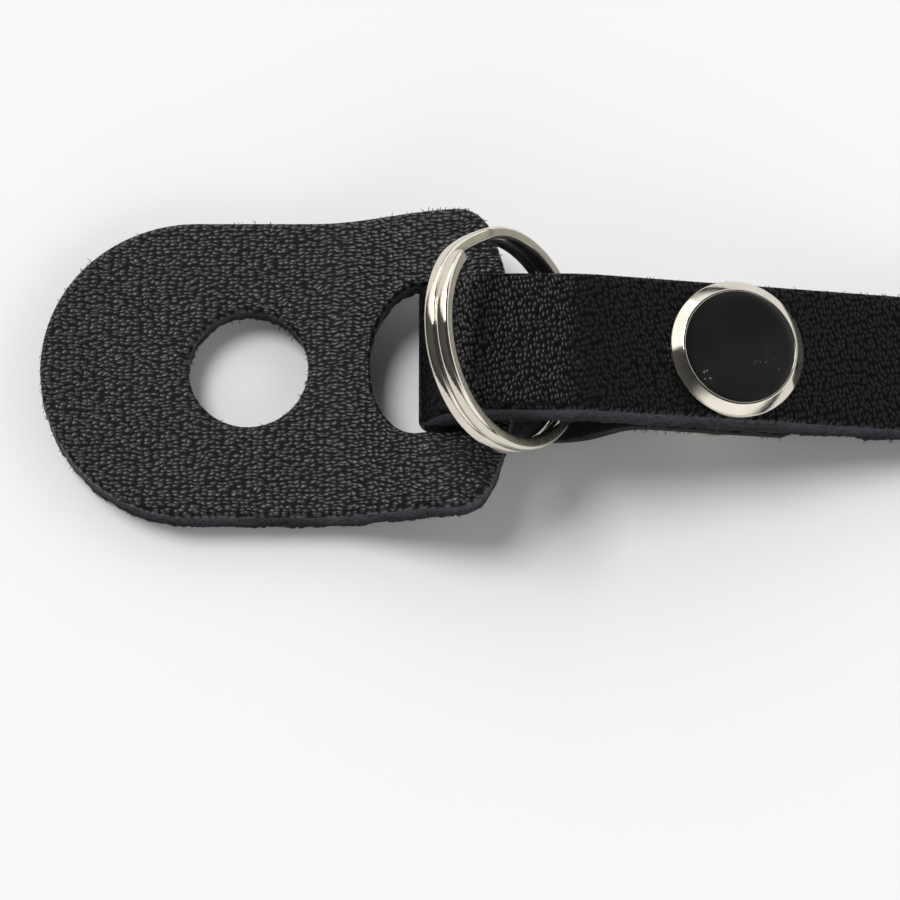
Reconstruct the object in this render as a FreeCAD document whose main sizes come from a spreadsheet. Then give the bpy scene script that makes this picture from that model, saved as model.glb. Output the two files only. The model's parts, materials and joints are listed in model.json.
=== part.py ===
import FreeCAD, Part

import math
import os

import Sketcher

# Leather strap end: a protector tab with a round hole and a D-shaped slot, a split ring, and the
# folded end of a 10 mm leather strap, closed by a two-piece binding screw with flat bevelled heads.
# Frame: X runs along the strap, Y across it, Z up. The origin is the centre of the tab's round hole,
# in the flat underside of the tab.

DIMENSIONS = [
    # strap: cut thickness, the room inside its loop, and where it runs
    ("strap_width", 10.0),
    ("strap_thick", 3.2),
    ("loop_gap", 3.9),
    ("fold_x", 12.45),
    ("slope_start", 24.2),
    ("seat_slope", 14.0),
    ("strap_stop", 65.0),
    # the folded-back tail, pared thin where the screw holds it
    ("tail_thick", 1.7),
    ("tail_rise_x", 24.2),
    ("tail_join", 6.2),
    ("tail_reach", 5.6),
    ("seam", 0.07),
    # holes for the rivets of the neck strap, in the flat stretch
    ("pad_hole_dia", 3.0),
    ("pad_hole_x", 55.5),
    ("pad_hole_pitch", 5.5),
    # protector tab
    ("tab_width", 22.2),
    ("tab_thick", 2.8),
    ("lug_hole_dia", 8.7),
    ("nose_x", -4.0),
    ("nose_lift", 0.8),
    ("tab_stop", 19.5),
    ("tab_stop_radius", 24.7),
    ("tab_corner", 1.6),
    ("rise_start", 7.2),
    ("rise_stop", 14.8),
    ("slot_start", 8.9),
    ("slot_round", 3.5),
    ("slot_width", 11.0),
    ("slot_stop", 17.1),
    ("slot_corner", 1.0),
    # split ring
    ("ring_dia", 16.0),
    ("wire_wide", 0.9),
    ("wire_thick", 1.05),
    ("wire_round", 0.28),
    ("coil_play", 0.02),
    ("ring_lean", 51.0),
    ("ring_seat_x", 23.4),
    ("step_angle", 125.0),
    ("step_half", 16.0),
    # binding screw
    ("screw_x", 35.1),
    ("head_dia", 10.0),
    ("head_face_dia", 8.5),
    ("head_wall", 0.45),
    ("head_thick", 1.05),
    ("screw_head_thick", 0.9),
    ("enamel_dia", 8.2),
    ("enamel_thick", 0.15),
    ("barrel_dia", 5.0),
    ("barrel_long", 4.6),
    ("barrel_bore_dia", 3.9),
    ("barrel_bore_deep", 4.2),
    ("shank_dia", 3.8),
    ("shank_long", 3.9),
    ("driver_slot_wide", 1.3),
    ("driver_slot_deep", 0.5),
    ("post_hole_dia", 5.2),
]

doc = FreeCAD.newDocument("StrapEnd")
sheet = doc.addObject("Spreadsheet::Sheet", "Sheet")
for row, (alias, value) in enumerate(DIMENSIONS, start=1):
    sheet.set(f"A{row}", alias)
    sheet.set(f"B{row}", str(value))
    sheet.setAlias(f"B{row}", alias)
doc.recompute()


def size(alias):
    """The value of one driving dimension, in millimetres or degrees."""
    return float(sheet.get(alias))


def flat(x, y):
    """A point in a sketch's own plane."""
    return FreeCAD.Vector(x, y, 0)


# ---- places that several pieces share ------------------------------------------------------------

LOOP_TOP = 2 * size("strap_thick") + size("loop_gap")
LOOP_MIDDLE = LOOP_TOP / 2
SLOPE = math.radians(size("seat_slope"))
SLOPE_STOP = size("slope_start") + (LOOP_TOP - size("strap_thick")) / math.tan(SLOPE)
SCREW_TOP = LOOP_TOP - (size("screw_x") - size("slope_start")) * math.tan(SLOPE)
STACK = size("strap_thick") + size("seam") + size("tail_thick")
SCREW_PLACE = FreeCAD.Placement(
    FreeCAD.Vector(size("screw_x"), 0, SCREW_TOP),
    FreeCAD.Rotation(FreeCAD.Vector(0, 1, 0), size("seat_slope")),
)


def below_seat(along, depth):
    """A point of the strap's side view, measured along and down from the screw's seat."""
    x = size("screw_x") + along * math.cos(SLOPE) - depth * math.sin(SLOPE)
    z = SCREW_TOP - along * math.sin(SLOPE) - depth * math.cos(SLOPE)
    return flat(x, z)


# ---- helpers for sketches ------------------------------------------------------------------------


def new_body(label):
    body = doc.addObject("PartDesign::Body", label)
    body.Label = label
    return body


def new_sketch(body, name, role, offset=None):
    """A sketch on the body's own origin plane with this role, moved by the offset."""
    sketch = body.newObject("Sketcher::SketchObject", name)
    plane = next(item for item in body.Origin.OriginFeatures if item.Role == role)
    sketch.AttachmentSupport = [(plane, "")]
    sketch.MapMode = "FlatFace"
    if offset is not None:
        sketch.AttachmentOffset = offset
    return sketch


def corner_arc(before, corner, after, radius):
    """The start, middle and end of the arc that rounds a corner."""
    back = (before - corner).normalize()
    ahead = (after - corner).normalize()
    half = back.getAngle(ahead) / 2
    reach = radius / math.tan(half)
    inward = (back + ahead).normalize()
    centre = corner + inward * (radius / math.sin(half))
    return corner + back * reach, centre - inward * radius, corner + ahead * reach


def rounded_run(corners):
    """Lines and arcs through (point, radius) corners, with square ends."""
    pieces = []
    here = corners[0][0]
    for index in range(1, len(corners) - 1):
        corner, radius = corners[index]
        leave = corner
        if radius == 0:
            pieces.append(Part.LineSegment(here, corner))
        else:
            enter, middle, leave = corner_arc(corners[index - 1][0], corner, corners[index + 1][0], radius)
            pieces.append(Part.LineSegment(here, enter))
            pieces.append(Part.Arc(enter, middle, leave))
        here = leave
    pieces.append(Part.LineSegment(here, corners[-1][0]))
    return pieces


def pad(body, sketch, name, alias):
    """A pad with half its length on each side of the sketch."""
    feature = body.newObject("PartDesign::Pad", name)
    feature.Profile = sketch
    feature.SideType = "Symmetric"
    feature.setExpression("Length", f"Sheet.{alias}")
    doc.recompute()
    return feature


def cut_through(body, sketch, name):
    """A pocket through everything on both sides of the sketch. It must take some volume away."""
    before = body.Shape.Volume
    feature = body.newObject("PartDesign::Pocket", name)
    feature.Profile = sketch
    feature.SideType = "Symmetric"
    feature.Type = "ThroughAll"
    doc.recompute()
    if body.Shape.Volume > before - 1:
        raise RuntimeError(f"{name} cut nothing")
    return feature


def add_circle(sketch, x, y, alias):
    """A circle whose diameter is bound to the sheet."""
    index = sketch.addGeometry(Part.Circle(flat(x, y), FreeCAD.Vector(0, 0, 1), size(alias) / 2), False)
    number = sketch.addConstraint(Sketcher.Constraint("Diameter", index, size(alias)))
    sketch.setExpression(f"Constraints[{number}]", f"Sheet.{alias}")


def turned(body, name, corners):
    """A solid turned about Z from the corners (radius, height) of half its section."""
    sketch = new_sketch(body, f"{name}Section", "XZ_Plane")
    points = [flat(radius, height) for radius, height in corners]
    for start, stop in zip(points, points[1:] + points[:1]):
        sketch.addGeometry(Part.LineSegment(start, stop), False)
    revolution = body.newObject("PartDesign::Revolution", name)
    revolution.Profile = sketch
    revolution.ReferenceAxis = (sketch, ["V_Axis"])
    revolution.Angle = 360
    doc.recompute()
    return revolution


# ---- strap ---------------------------------------------------------------------------------------


def strap_outline():
    """The strap's side view: top face, far end, underside, inside of the loop, tail, outside of the loop."""
    thick = size("strap_thick")
    radius = LOOP_MIDDLE
    centre_x = size("fold_x") + radius
    stop = size("strap_stop")
    half_slope = math.tan(SLOPE / 2) * thick
    knee = 12
    landing = 40
    top_face = [
        (flat(centre_x, LOOP_TOP), 0),
        (flat(size("slope_start"), LOOP_TOP), knee),
        (flat(SLOPE_STOP, thick), landing),
        (flat(stop, thick), 0),
    ]
    underside = [
        (flat(stop, 0), 0),
        (flat(SLOPE_STOP - half_slope, 0), landing + thick),
        (flat(size("slope_start") - half_slope, LOOP_TOP - thick), knee - thick),
        (flat(centre_x, LOOP_TOP - thick), 0),
    ]
    tail_depth = thick + size("seam")
    rise_x = size("tail_rise_x")
    tail_top = [
        (flat(centre_x, thick), 0),
        (flat(rise_x + 1, thick), 5),
        (below_seat(-size("tail_join"), tail_depth), 5),
        (below_seat(size("tail_reach"), tail_depth), 0),
    ]
    tail_bottom = [
        (below_seat(size("tail_reach"), STACK), 0),
        (below_seat(-size("tail_join"), STACK), 2),
        (flat(rise_x, 0), 5),
        (flat(centre_x, 0), 0),
    ]
    inner = size("loop_gap") / 2
    pieces = rounded_run(top_face)
    pieces.append(Part.LineSegment(top_face[-1][0], underside[0][0]))
    pieces += rounded_run(underside)
    pieces.append(Part.Arc(underside[-1][0], flat(centre_x - inner, LOOP_MIDDLE), tail_top[0][0]))
    pieces += rounded_run(tail_top)
    pieces.append(Part.LineSegment(tail_top[-1][0], tail_bottom[0][0]))
    pieces += rounded_run(tail_bottom)
    pieces.append(Part.Arc(tail_bottom[-1][0], flat(size("fold_x"), LOOP_MIDDLE), top_face[0][0]))
    return pieces


def make_strap():
    body = new_body("strap")
    side = new_sketch(body, "StrapSide", "XZ_Plane")
    side.addGeometry(strap_outline(), False)
    pad(body, side, "StrapLeather", "strap_width")
    post_hole = new_sketch(body, "PostHole", "XY_Plane", SCREW_PLACE)
    add_circle(post_hole, 0, 0, "post_hole_dia")
    cut_through(body, post_hole, "PostHoleCut")
    pad_holes = new_sketch(body, "PadHoles", "XY_Plane")
    for step in (0, 1):
        add_circle(pad_holes, size("pad_hole_x") + step * size("pad_hole_pitch"), 0, "pad_hole_dia")
    cut_through(body, pad_holes, "PadHolesCut")
    return body


# ---- protector tab -------------------------------------------------------------------------------


def tab_outline():
    """The tab seen from above: round nose, straight sides, rounded corners and a bowed far end."""
    half = size("tab_width") / 2
    nose = size("nose_x")
    radius = size("tab_stop_radius")
    corner = size("tab_corner")
    bow_x = size("tab_stop") - radius
    corner_y = half - corner
    corner_x = bow_x + math.sqrt((radius - corner) ** 2 - corner_y**2)
    grow = radius / (radius - corner)
    meet = flat(bow_x + (corner_x - bow_x) * grow, corner_y * grow)
    lean = math.atan2(meet.y, meet.x - bow_x) / 2 + math.pi / 4
    middle = flat(corner_x + corner * math.cos(lean), corner_y + corner * math.sin(lean))
    mirrored = FreeCAD.Vector(1, -1, 1)

    def low(point):
        return flat(point.x * mirrored.x, point.y * mirrored.y)

    top = flat(corner_x, half)
    return [
        Part.Arc(flat(nose, half), flat(nose - half, 0), flat(nose, -half)),
        Part.LineSegment(flat(nose, -half), low(top)),
        Part.Arc(low(top), low(middle), low(meet)),
        Part.Arc(low(meet), flat(size("tab_stop"), 0), meet),
        Part.Arc(meet, middle, top),
        Part.LineSegment(top, flat(nose, half)),
    ]


def slot_outline():
    """The D-shaped slot: half an ellipse towards the nose, then straight sides and a straight end."""
    half = size("slot_width") / 2
    centre_x = size("slot_start") + size("slot_round")
    ellipse = Part.Ellipse(flat(centre_x, half), flat(size("slot_start"), 0), flat(centre_x, 0))
    straight = rounded_run(
        [
            (flat(centre_x, -half), 0),
            (flat(size("slot_stop"), -half), size("slot_corner")),
            (flat(size("slot_stop"), half), size("slot_corner")),
            (flat(centre_x, half), 0),
        ]
    )
    return [Part.ArcOfEllipse(ellipse, 0, math.pi)] + straight


def tab_side_outline():
    """The tab seen from the side: lifted nose, flat middle, and the rise to the bar inside the loop."""
    thick = size("tab_thick")
    nose = size("nose_x") - size("tab_width") / 2 - 1
    beyond = size("tab_stop") + 1
    lifted = LOOP_MIDDLE - thick / 2
    rise = math.atan2(lifted, size("rise_stop") - size("rise_start"))
    shift = thick * math.tan(rise / 2)
    low_bend = 10
    high_bend = 10
    nose_bend = 60
    lower = [
        (flat(nose, size("nose_lift")), 0),
        (flat(size("nose_x") - 5, 0), nose_bend + thick),
        (flat(size("rise_start"), 0), low_bend + thick),
        (flat(size("rise_stop"), lifted), high_bend),
        (flat(beyond, lifted), 0),
    ]
    upper = [
        (flat(beyond, lifted + thick), 0),
        (flat(size("rise_stop") - shift, lifted + thick), high_bend + thick),
        (flat(size("rise_start") - shift, thick), low_bend),
        (flat(size("nose_x") - 5, thick), nose_bend),
        (flat(nose, size("nose_lift") + thick), 0),
    ]
    pieces = rounded_run(lower)
    pieces.append(Part.LineSegment(lower[-1][0], upper[0][0]))
    pieces += rounded_run(upper)
    pieces.append(Part.LineSegment(upper[-1][0], lower[0][0]))
    return pieces


def make_tab():
    """The side view's bent sheet and the top view's blank, and what the two have in common."""
    sheet_body = new_body("tab_sheet")
    side = new_sketch(sheet_body, "TabSide", "XZ_Plane")
    side.addGeometry(tab_side_outline(), False)
    sheet_pad = sheet_body.newObject("PartDesign::Pad", "TabSheet")
    sheet_pad.Profile = side
    sheet_pad.SideType = "Symmetric"
    sheet_pad.setExpression("Length", "Sheet.tab_width + 2")
    blank_body = new_body("tab_blank")
    blank = new_sketch(blank_body, "TabBlankOutline", "XY_Plane")
    blank.addGeometry(tab_outline(), False)
    blank.addGeometry(slot_outline(), False)
    add_circle(blank, 0, 0, "lug_hole_dia")
    blank_pad = blank_body.newObject("PartDesign::Pad", "TabBlank")
    blank_pad.Profile = blank
    blank_pad.SideType = "Symmetric"
    blank_pad.setExpression("Length", "4 * (Sheet.strap_thick + Sheet.loop_gap)")
    doc.recompute()
    tab = doc.addObject("Part::Common", "lug_tab")
    tab.Label = "lug_tab"
    tab.Base = blank_body
    tab.Tool = sheet_body
    doc.recompute()
    return tab


# ---- split ring ----------------------------------------------------------------------------------


def ring_height(angle, start_of_step, span, pitch):
    """Height of the wire's middle: the upper coil, an eased step down, then the lower coil."""
    share = min(max((angle - start_of_step) / span, 0), 1)
    return pitch / 2 - pitch * share * share * (3 - 2 * share)


def wire_section(origin, outward):
    """The wire's rounded rectangle, standing across the coil at its first end."""
    half_wide = size("wire_wide") / 2
    half_thick = size("wire_thick") / 2
    up = FreeCAD.Vector(0, 0, 1)
    corners = [
        flat(-half_wide, -half_thick),
        flat(half_wide, -half_thick),
        flat(half_wide, half_thick),
        flat(-half_wide, half_thick),
    ]
    edges = []
    rounds = []
    for index, corner in enumerate(corners):
        rounds.append(corner_arc(corners[index - 1], corner, corners[(index + 1) % 4], size("wire_round")))
    for index, (enter, middle, leave) in enumerate(rounds):
        after = rounds[(index + 1) % 4][0]
        stand = [origin + outward * point.x + up * point.y for point in (enter, middle, leave, after)]
        edges.append(Part.Arc(stand[0], stand[1], stand[2]).toShape())
        edges.append(Part.LineSegment(stand[2], stand[3]).toShape())
    return Part.Wire(edges)


def make_ring():
    """Two coils of flat wire, one over the other, joined by a short step.

    A planar path can't hold both coils, so the wire is swept along a spline through points of the
    coils, seven and a half degrees apart.
    """
    radius = (size("ring_dia") - size("wire_wide")) / 2
    pitch = size("wire_thick") + size("coil_play")
    half = math.radians(size("step_half"))
    step = math.radians(size("step_angle"))
    first = step + half
    last = step - half + 4 * math.pi
    count = round((last - first) / math.radians(7.5))
    points = []
    for index in range(count + 1):
        angle = first + (last - first) * index / count
        height = ring_height(angle, step - half + 2 * math.pi, 2 * half, pitch)
        points.append(FreeCAD.Vector(radius * math.cos(angle), radius * math.sin(angle), height))
    path = Part.BSplineCurve()
    path.interpolate(points)
    outward = FreeCAD.Vector(math.cos(first), math.sin(first), 0)
    sweep = Part.BRepOffsetAPI.MakePipeShell(Part.Wire([path.toShape()]))
    sweep.setBiNormalMode(FreeCAD.Vector(0, 0, 1))
    sweep.add(wire_section(points[0], outward))
    sweep.build()
    sweep.makeSolid()
    ring = doc.addObject("Part::Feature", "split_ring")
    ring.Label = "split_ring"
    ring.Shape = sweep.shape()
    lean = math.radians(size("ring_lean"))
    wire_reach = math.hypot(size("wire_thick") + size("coil_play") / 2, size("wire_wide") / 2)
    seat_z = size("strap_thick") + wire_reach + 0.03
    centre_x = size("ring_seat_x") - radius * math.cos(lean)
    centre_z = seat_z + radius * math.sin(lean)
    ring.Placement = FreeCAD.Placement(
        FreeCAD.Vector(centre_x, 0, centre_z),
        FreeCAD.Rotation(FreeCAD.Vector(0, 1, 0), size("ring_lean")),
    )
    print(f"ring hinge at x {size('ring_seat_x'):.3f} z {seat_z:.3f}")
    return ring


# ---- binding screw -------------------------------------------------------------------------------


def make_post():
    """The flat bevelled head with its recess, and the barrel below it, bored from its open end."""
    body = new_body("screw_post")
    thick = size("head_thick")
    recess = size("enamel_dia") / 2
    barrel = size("barrel_dia") / 2
    bore = size("barrel_bore_dia") / 2
    end = -size("barrel_long")
    bore_top = end + size("barrel_bore_deep")
    turned(
        body,
        "PostTurned",
        [
            (0, thick - size("enamel_thick")),
            (recess, thick - size("enamel_thick")),
            (recess, thick),
            (size("head_face_dia") / 2, thick),
            (size("head_dia") / 2, size("head_wall")),
            (size("head_dia") / 2, 0),
            (barrel, 0),
            (barrel, end),
            (bore, end),
            (bore, bore_top),
            (0, bore_top),
        ],
    )
    body.Placement = SCREW_PLACE
    return body


def make_enamel():
    """The flat fill of black enamel in the post's head."""
    disc = doc.addObject("Part::Cylinder", "enamel_face")
    disc.Label = "enamel_face"
    disc.setExpression("Radius", "Sheet.enamel_dia / 2")
    disc.setExpression("Height", "Sheet.enamel_thick")
    lift = FreeCAD.Vector(0, 0, size("head_thick") - size("enamel_thick"))
    disc.Placement = SCREW_PLACE.multiply(FreeCAD.Placement(lift, FreeCAD.Rotation()))
    return disc


def make_screw():
    """The back screw: slotted bevelled head under the tail, shank up into the barrel."""
    body = new_body("back_screw")
    under = -STACK
    thick = size("screw_head_thick")
    outer = size("head_dia") / 2
    bevel = (size("head_dia") - size("head_face_dia")) / 2
    shank = size("shank_dia") / 2
    turned(
        body,
        "ScrewTurned",
        [
            (0, under - thick),
            (outer - bevel, under - thick),
            (outer, under - size("head_wall")),
            (outer, under),
            (shank, under),
            (shank, under + size("shank_long") - 0.3),
            (shank - 0.3, under + size("shank_long")),
            (0, under + size("shank_long")),
        ],
    )
    slot_plane = FreeCAD.Placement(FreeCAD.Vector(0, 0, under - thick), FreeCAD.Rotation())
    slot = new_sketch(body, "DriverSlot", "XY_Plane", slot_plane)
    half_long = outer + 0.5
    half_wide = size("driver_slot_wide") / 2
    corners = [(-half_long, -half_wide), (half_long, -half_wide), (half_long, half_wide), (-half_long, half_wide)]
    points = [flat(x, y) for x, y in corners]
    for start, stop in zip(points, points[1:] + points[:1]):
        slot.addGeometry(Part.LineSegment(start, stop), False)
    before = body.Shape.Volume
    pocket = body.newObject("PartDesign::Pocket", "DriverSlotCut")
    pocket.Profile = slot
    pocket.setExpression("Length", "Sheet.driver_slot_deep")
    pocket.Reversed = True
    doc.recompute()
    if body.Shape.Volume > before - 1:
        raise RuntimeError("the driver slot cut nothing")
    body.Placement = SCREW_PLACE
    return body


# ---- build, test and write -----------------------------------------------------------------------

pieces = [make_strap(), make_tab(), make_ring(), make_post(), make_enamel(), make_screw()]
doc.recompute()

for item in doc.Objects:
    if "Invalid" in item.State or "Error" in item.State:
        raise RuntimeError(f"{item.Name} failed: {item.State}")

os.makedirs("parts", exist_ok=True)
for piece in pieces:
    shape = piece.Shape
    if shape.isNull() or not shape.isValid() or len(shape.Solids) != 1:
        raise RuntimeError(f"{piece.Label} is not one valid solid")
    shape.exportStep(f"parts/{piece.Label}.step")
    box = shape.BoundBox
    print(f"{piece.Label}: {shape.Volume:.1f} mm3, x {box.XMin:.2f} to {box.XMax:.2f}, "
          f"y {box.YMin:.2f} to {box.YMax:.2f}, z {box.ZMin:.2f} to {box.ZMax:.2f}")
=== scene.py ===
# %% [markdown]
# # The looks of a leather strap end
# The object is the end of a narrow leather strap that clips to a small lug: a folded strap, a steel
# split ring through its fold, a leather tab that keeps the ring off whatever it hangs on, and a
# two-piece binding screw that closes the fold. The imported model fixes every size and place. This
# script gives the pieces their finish, and everything is in metres, in the model's own frame.

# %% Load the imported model
import json
import math
import random

import bmesh
import bpy
from mathutils import Matrix, Vector, noise


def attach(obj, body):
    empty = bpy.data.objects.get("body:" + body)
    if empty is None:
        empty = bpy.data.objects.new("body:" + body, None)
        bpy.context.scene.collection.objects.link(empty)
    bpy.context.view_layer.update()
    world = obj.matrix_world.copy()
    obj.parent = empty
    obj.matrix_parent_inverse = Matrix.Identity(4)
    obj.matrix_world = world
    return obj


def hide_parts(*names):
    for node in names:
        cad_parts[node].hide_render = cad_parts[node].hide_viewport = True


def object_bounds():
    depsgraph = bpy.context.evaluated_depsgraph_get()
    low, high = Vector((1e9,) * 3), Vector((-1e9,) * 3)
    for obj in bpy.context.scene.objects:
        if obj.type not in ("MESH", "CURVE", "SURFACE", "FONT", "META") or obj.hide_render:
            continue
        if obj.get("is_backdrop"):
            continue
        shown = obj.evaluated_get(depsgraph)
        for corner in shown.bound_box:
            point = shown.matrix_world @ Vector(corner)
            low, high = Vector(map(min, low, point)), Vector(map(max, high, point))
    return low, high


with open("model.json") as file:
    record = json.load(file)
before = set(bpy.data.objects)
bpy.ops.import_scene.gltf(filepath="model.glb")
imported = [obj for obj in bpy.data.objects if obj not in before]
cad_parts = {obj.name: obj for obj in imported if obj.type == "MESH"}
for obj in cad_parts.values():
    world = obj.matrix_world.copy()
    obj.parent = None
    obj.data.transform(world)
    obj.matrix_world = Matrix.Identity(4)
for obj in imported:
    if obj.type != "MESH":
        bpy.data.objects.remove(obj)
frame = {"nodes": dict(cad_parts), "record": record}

MM = 0.001
CAD_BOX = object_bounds()

# %% [markdown]
# Colours are written as the sRGB hex values that a paint chart would give, and shaders take linear
# ones, so one function turns them. A second function adds a node with its settings and its links,
# and a third starts a material with nothing in it but its shader.

# %% Colour and node helpers


def linear(hex_colour):
    """The linear colour that a shader takes for an sRGB hex value."""
    channels = [int(hex_colour[place:place + 2], 16) / 255 for place in (1, 3, 5)]
    return [c / 12.92 if c <= 0.04045 else ((c + 0.055) / 1.055) ** 2.4 for c in channels] + [1.0]


def add_node(tree, kind, inputs=None, **settings):
    """A new node with its settings, and with its inputs set to values or linked to sockets."""
    node = tree.nodes.new(kind)
    for name, value in settings.items():
        setattr(node, name, value)
    for socket, value in (inputs or {}).items():
        if isinstance(value, bpy.types.NodeSocket):
            tree.links.new(value, node.inputs[socket])
        else:
            node.inputs[socket].default_value = value
    return node


def start_material(name, **sockets):
    """A material with one Principled shader, whose constant sockets are set here."""
    material = bpy.data.materials.new(name)
    material.use_nodes = True
    tree = material.node_tree
    tree.nodes.clear()
    constants = {socket.replace("_", " "): value for socket, value in sockets.items()}
    shader = add_node(tree, "ShaderNodeBsdfPrincipled", constants)
    add_node(tree, "ShaderNodeOutputMaterial", {"Surface": shader.outputs["BSDF"]})
    return material, tree, shader


# %% [markdown]
# ## Grain leather
# The strap and the tab are full-grain leather, dyed black and pressed with a fine pebble grain. The
# pebbles are about half a millimetre long, in loose rows, with sharp valleys between them. Wax and
# handling leave a glossy film on their tops, which is the shader's coat, and the valleys stay dull.
# The valleys are also coloured nearly black against the tops, which is painted shade for the shadow
# that falls into them. The pattern follows the leather and not the room, so it is read from a UV
# map that holds each point's place on the flat hide in millimetres. Voronoi cells give the pebbles,
# and a slow noise bends their rows.

# %% Grain leather material


def grain_leather(name, pebble_long, pebble_wide, turn, height, shine, wax, haze):
    """Black pebble-grain leather, whose pebbles have these two sizes and this height in millimetres.

    The rows turn by degrees. Shine is the bare leather's, wax the film's share on the tops, haze its blur.
    """
    material, tree, shader = start_material(name, Specular_IOR_Level=shine, IOR=1.5, Coat_Roughness=haze)
    flat = add_node(tree, "ShaderNodeUVMap", uv_map="flat_mm").outputs["UV"]
    drift = add_node(tree, "ShaderNodeTexNoise", {"Vector": flat, "Scale": 0.8, "Detail": 2.0},
                     noise_dimensions="2D")
    centred = add_node(tree, "ShaderNodeVectorMath", {0: drift.outputs["Color"], 1: (0.5, 0.5, 0.5)},
                       operation="SUBTRACT")
    small = add_node(tree, "ShaderNodeVectorMath", {0: centred.outputs[0], "Scale": 0.5}, operation="SCALE")
    bent = add_node(tree, "ShaderNodeVectorMath", {0: flat, 1: small.outputs[0]}, operation="ADD")
    turned = add_node(tree, "ShaderNodeMapping",
                      {"Vector": bent.outputs[0], "Rotation": (0, 0, math.radians(turn))})
    rows = add_node(tree, "ShaderNodeMapping",
                    {"Vector": turned.outputs[0], "Scale": (1 / pebble_long, 1 / pebble_wide, 1)})
    cells = add_node(tree, "ShaderNodeTexVoronoi",
                     {"Vector": rows.outputs[0], "Scale": 1.0, "Randomness": 0.6}, voronoi_dimensions="2D")
    dome = add_node(tree, "ShaderNodeMapRange",
                    {"Value": cells.outputs["Distance"], "From Min": 0.0, "From Max": 0.68,
                     "To Min": 1.0, "To Max": 0.0}, interpolation_type="SMOOTHSTEP")
    pores = add_node(tree, "ShaderNodeTexNoise", {"Vector": flat, "Scale": 7.0, "Detail": 2.0},
                     noise_dimensions="2D")
    wear = add_node(tree, "ShaderNodeTexNoise", {"Vector": flat, "Scale": 0.3, "Detail": 3.0},
                    noise_dimensions="2D")
    relief = add_node(tree, "ShaderNodeMath",
                      {0: pores.outputs["Fac"], 1: 0.18, 2: dome.outputs[0]}, operation="MULTIPLY_ADD")
    # Painted shade: the valleys between the pebbles are coloured darker than the tops, for the shadow that
    # falls into them.
    colour = add_node(tree, "ShaderNodeMix",
                      {"Factor": dome.outputs[0], 6: linear("#030303"), 7: linear("#111112")},
                      data_type="RGBA")
    polish = add_node(tree, "ShaderNodeMapRange",
                      {"Value": dome.outputs[0], "To Min": 0.62, "To Max": 0.24})
    rough = add_node(tree, "ShaderNodeMath",
                     {0: wear.outputs["Fac"], 1: 0.14, 2: polish.outputs[0]}, operation="MULTIPLY_ADD")
    waxed = add_node(tree, "ShaderNodeMapRange",
                     {"Value": dome.outputs[0], "From Min": 0.1, "From Max": 0.65,
                      "To Min": 0.0, "To Max": wax}, interpolation_type="SMOOTHSTEP")
    bump = add_node(tree, "ShaderNodeBump",
                    {"Strength": 1.0, "Distance": height * MM, "Height": relief.outputs[0]})
    tree.links.new(colour.outputs[2], shader.inputs["Base Color"])
    tree.links.new(rough.outputs[0], shader.inputs["Roughness"])
    tree.links.new(bump.outputs[0], shader.inputs["Normal"])
    tree.links.new(waxed.outputs[0], shader.inputs["Coat Weight"])
    tree.links.new(bump.outputs[0], shader.inputs["Coat Normal"])
    return material


TAB_GRAIN = grain_leather("tab_pebble_leather", 0.52, 0.29, 0, 0.07, 0.2, 1.0, 0.42)
STRAP_GRAIN = grain_leather("strap_pebble_leather", 0.29, 0.44, 12, 0.026, 0.08, 0.36, 0.3)
print("grain leather", TAB_GRAIN.name, STRAP_GRAIN.name)

# %% [markdown]
# ## Cut edges and flesh side
# The die cuts through the hide and leaves a raw, fibrous edge. The dye is blue-black, and loose
# fibre scatters light, so the edge looks slate grey. Its colour is drawn dark in a thin band just
# under the grain, slate below it, and darker towards the flesh side. The flesh side is napped like
# suede. Both are matt, so noise drives their colour and bump, and a vertex attribute holds the depth
# below the grain. On the strap's pared tail, which lies under the top layer, both are mixed towards
# the dark colour. That is painted shade, for the shadow the tail lies in.

# %% Cut edge and flesh materials


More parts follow.
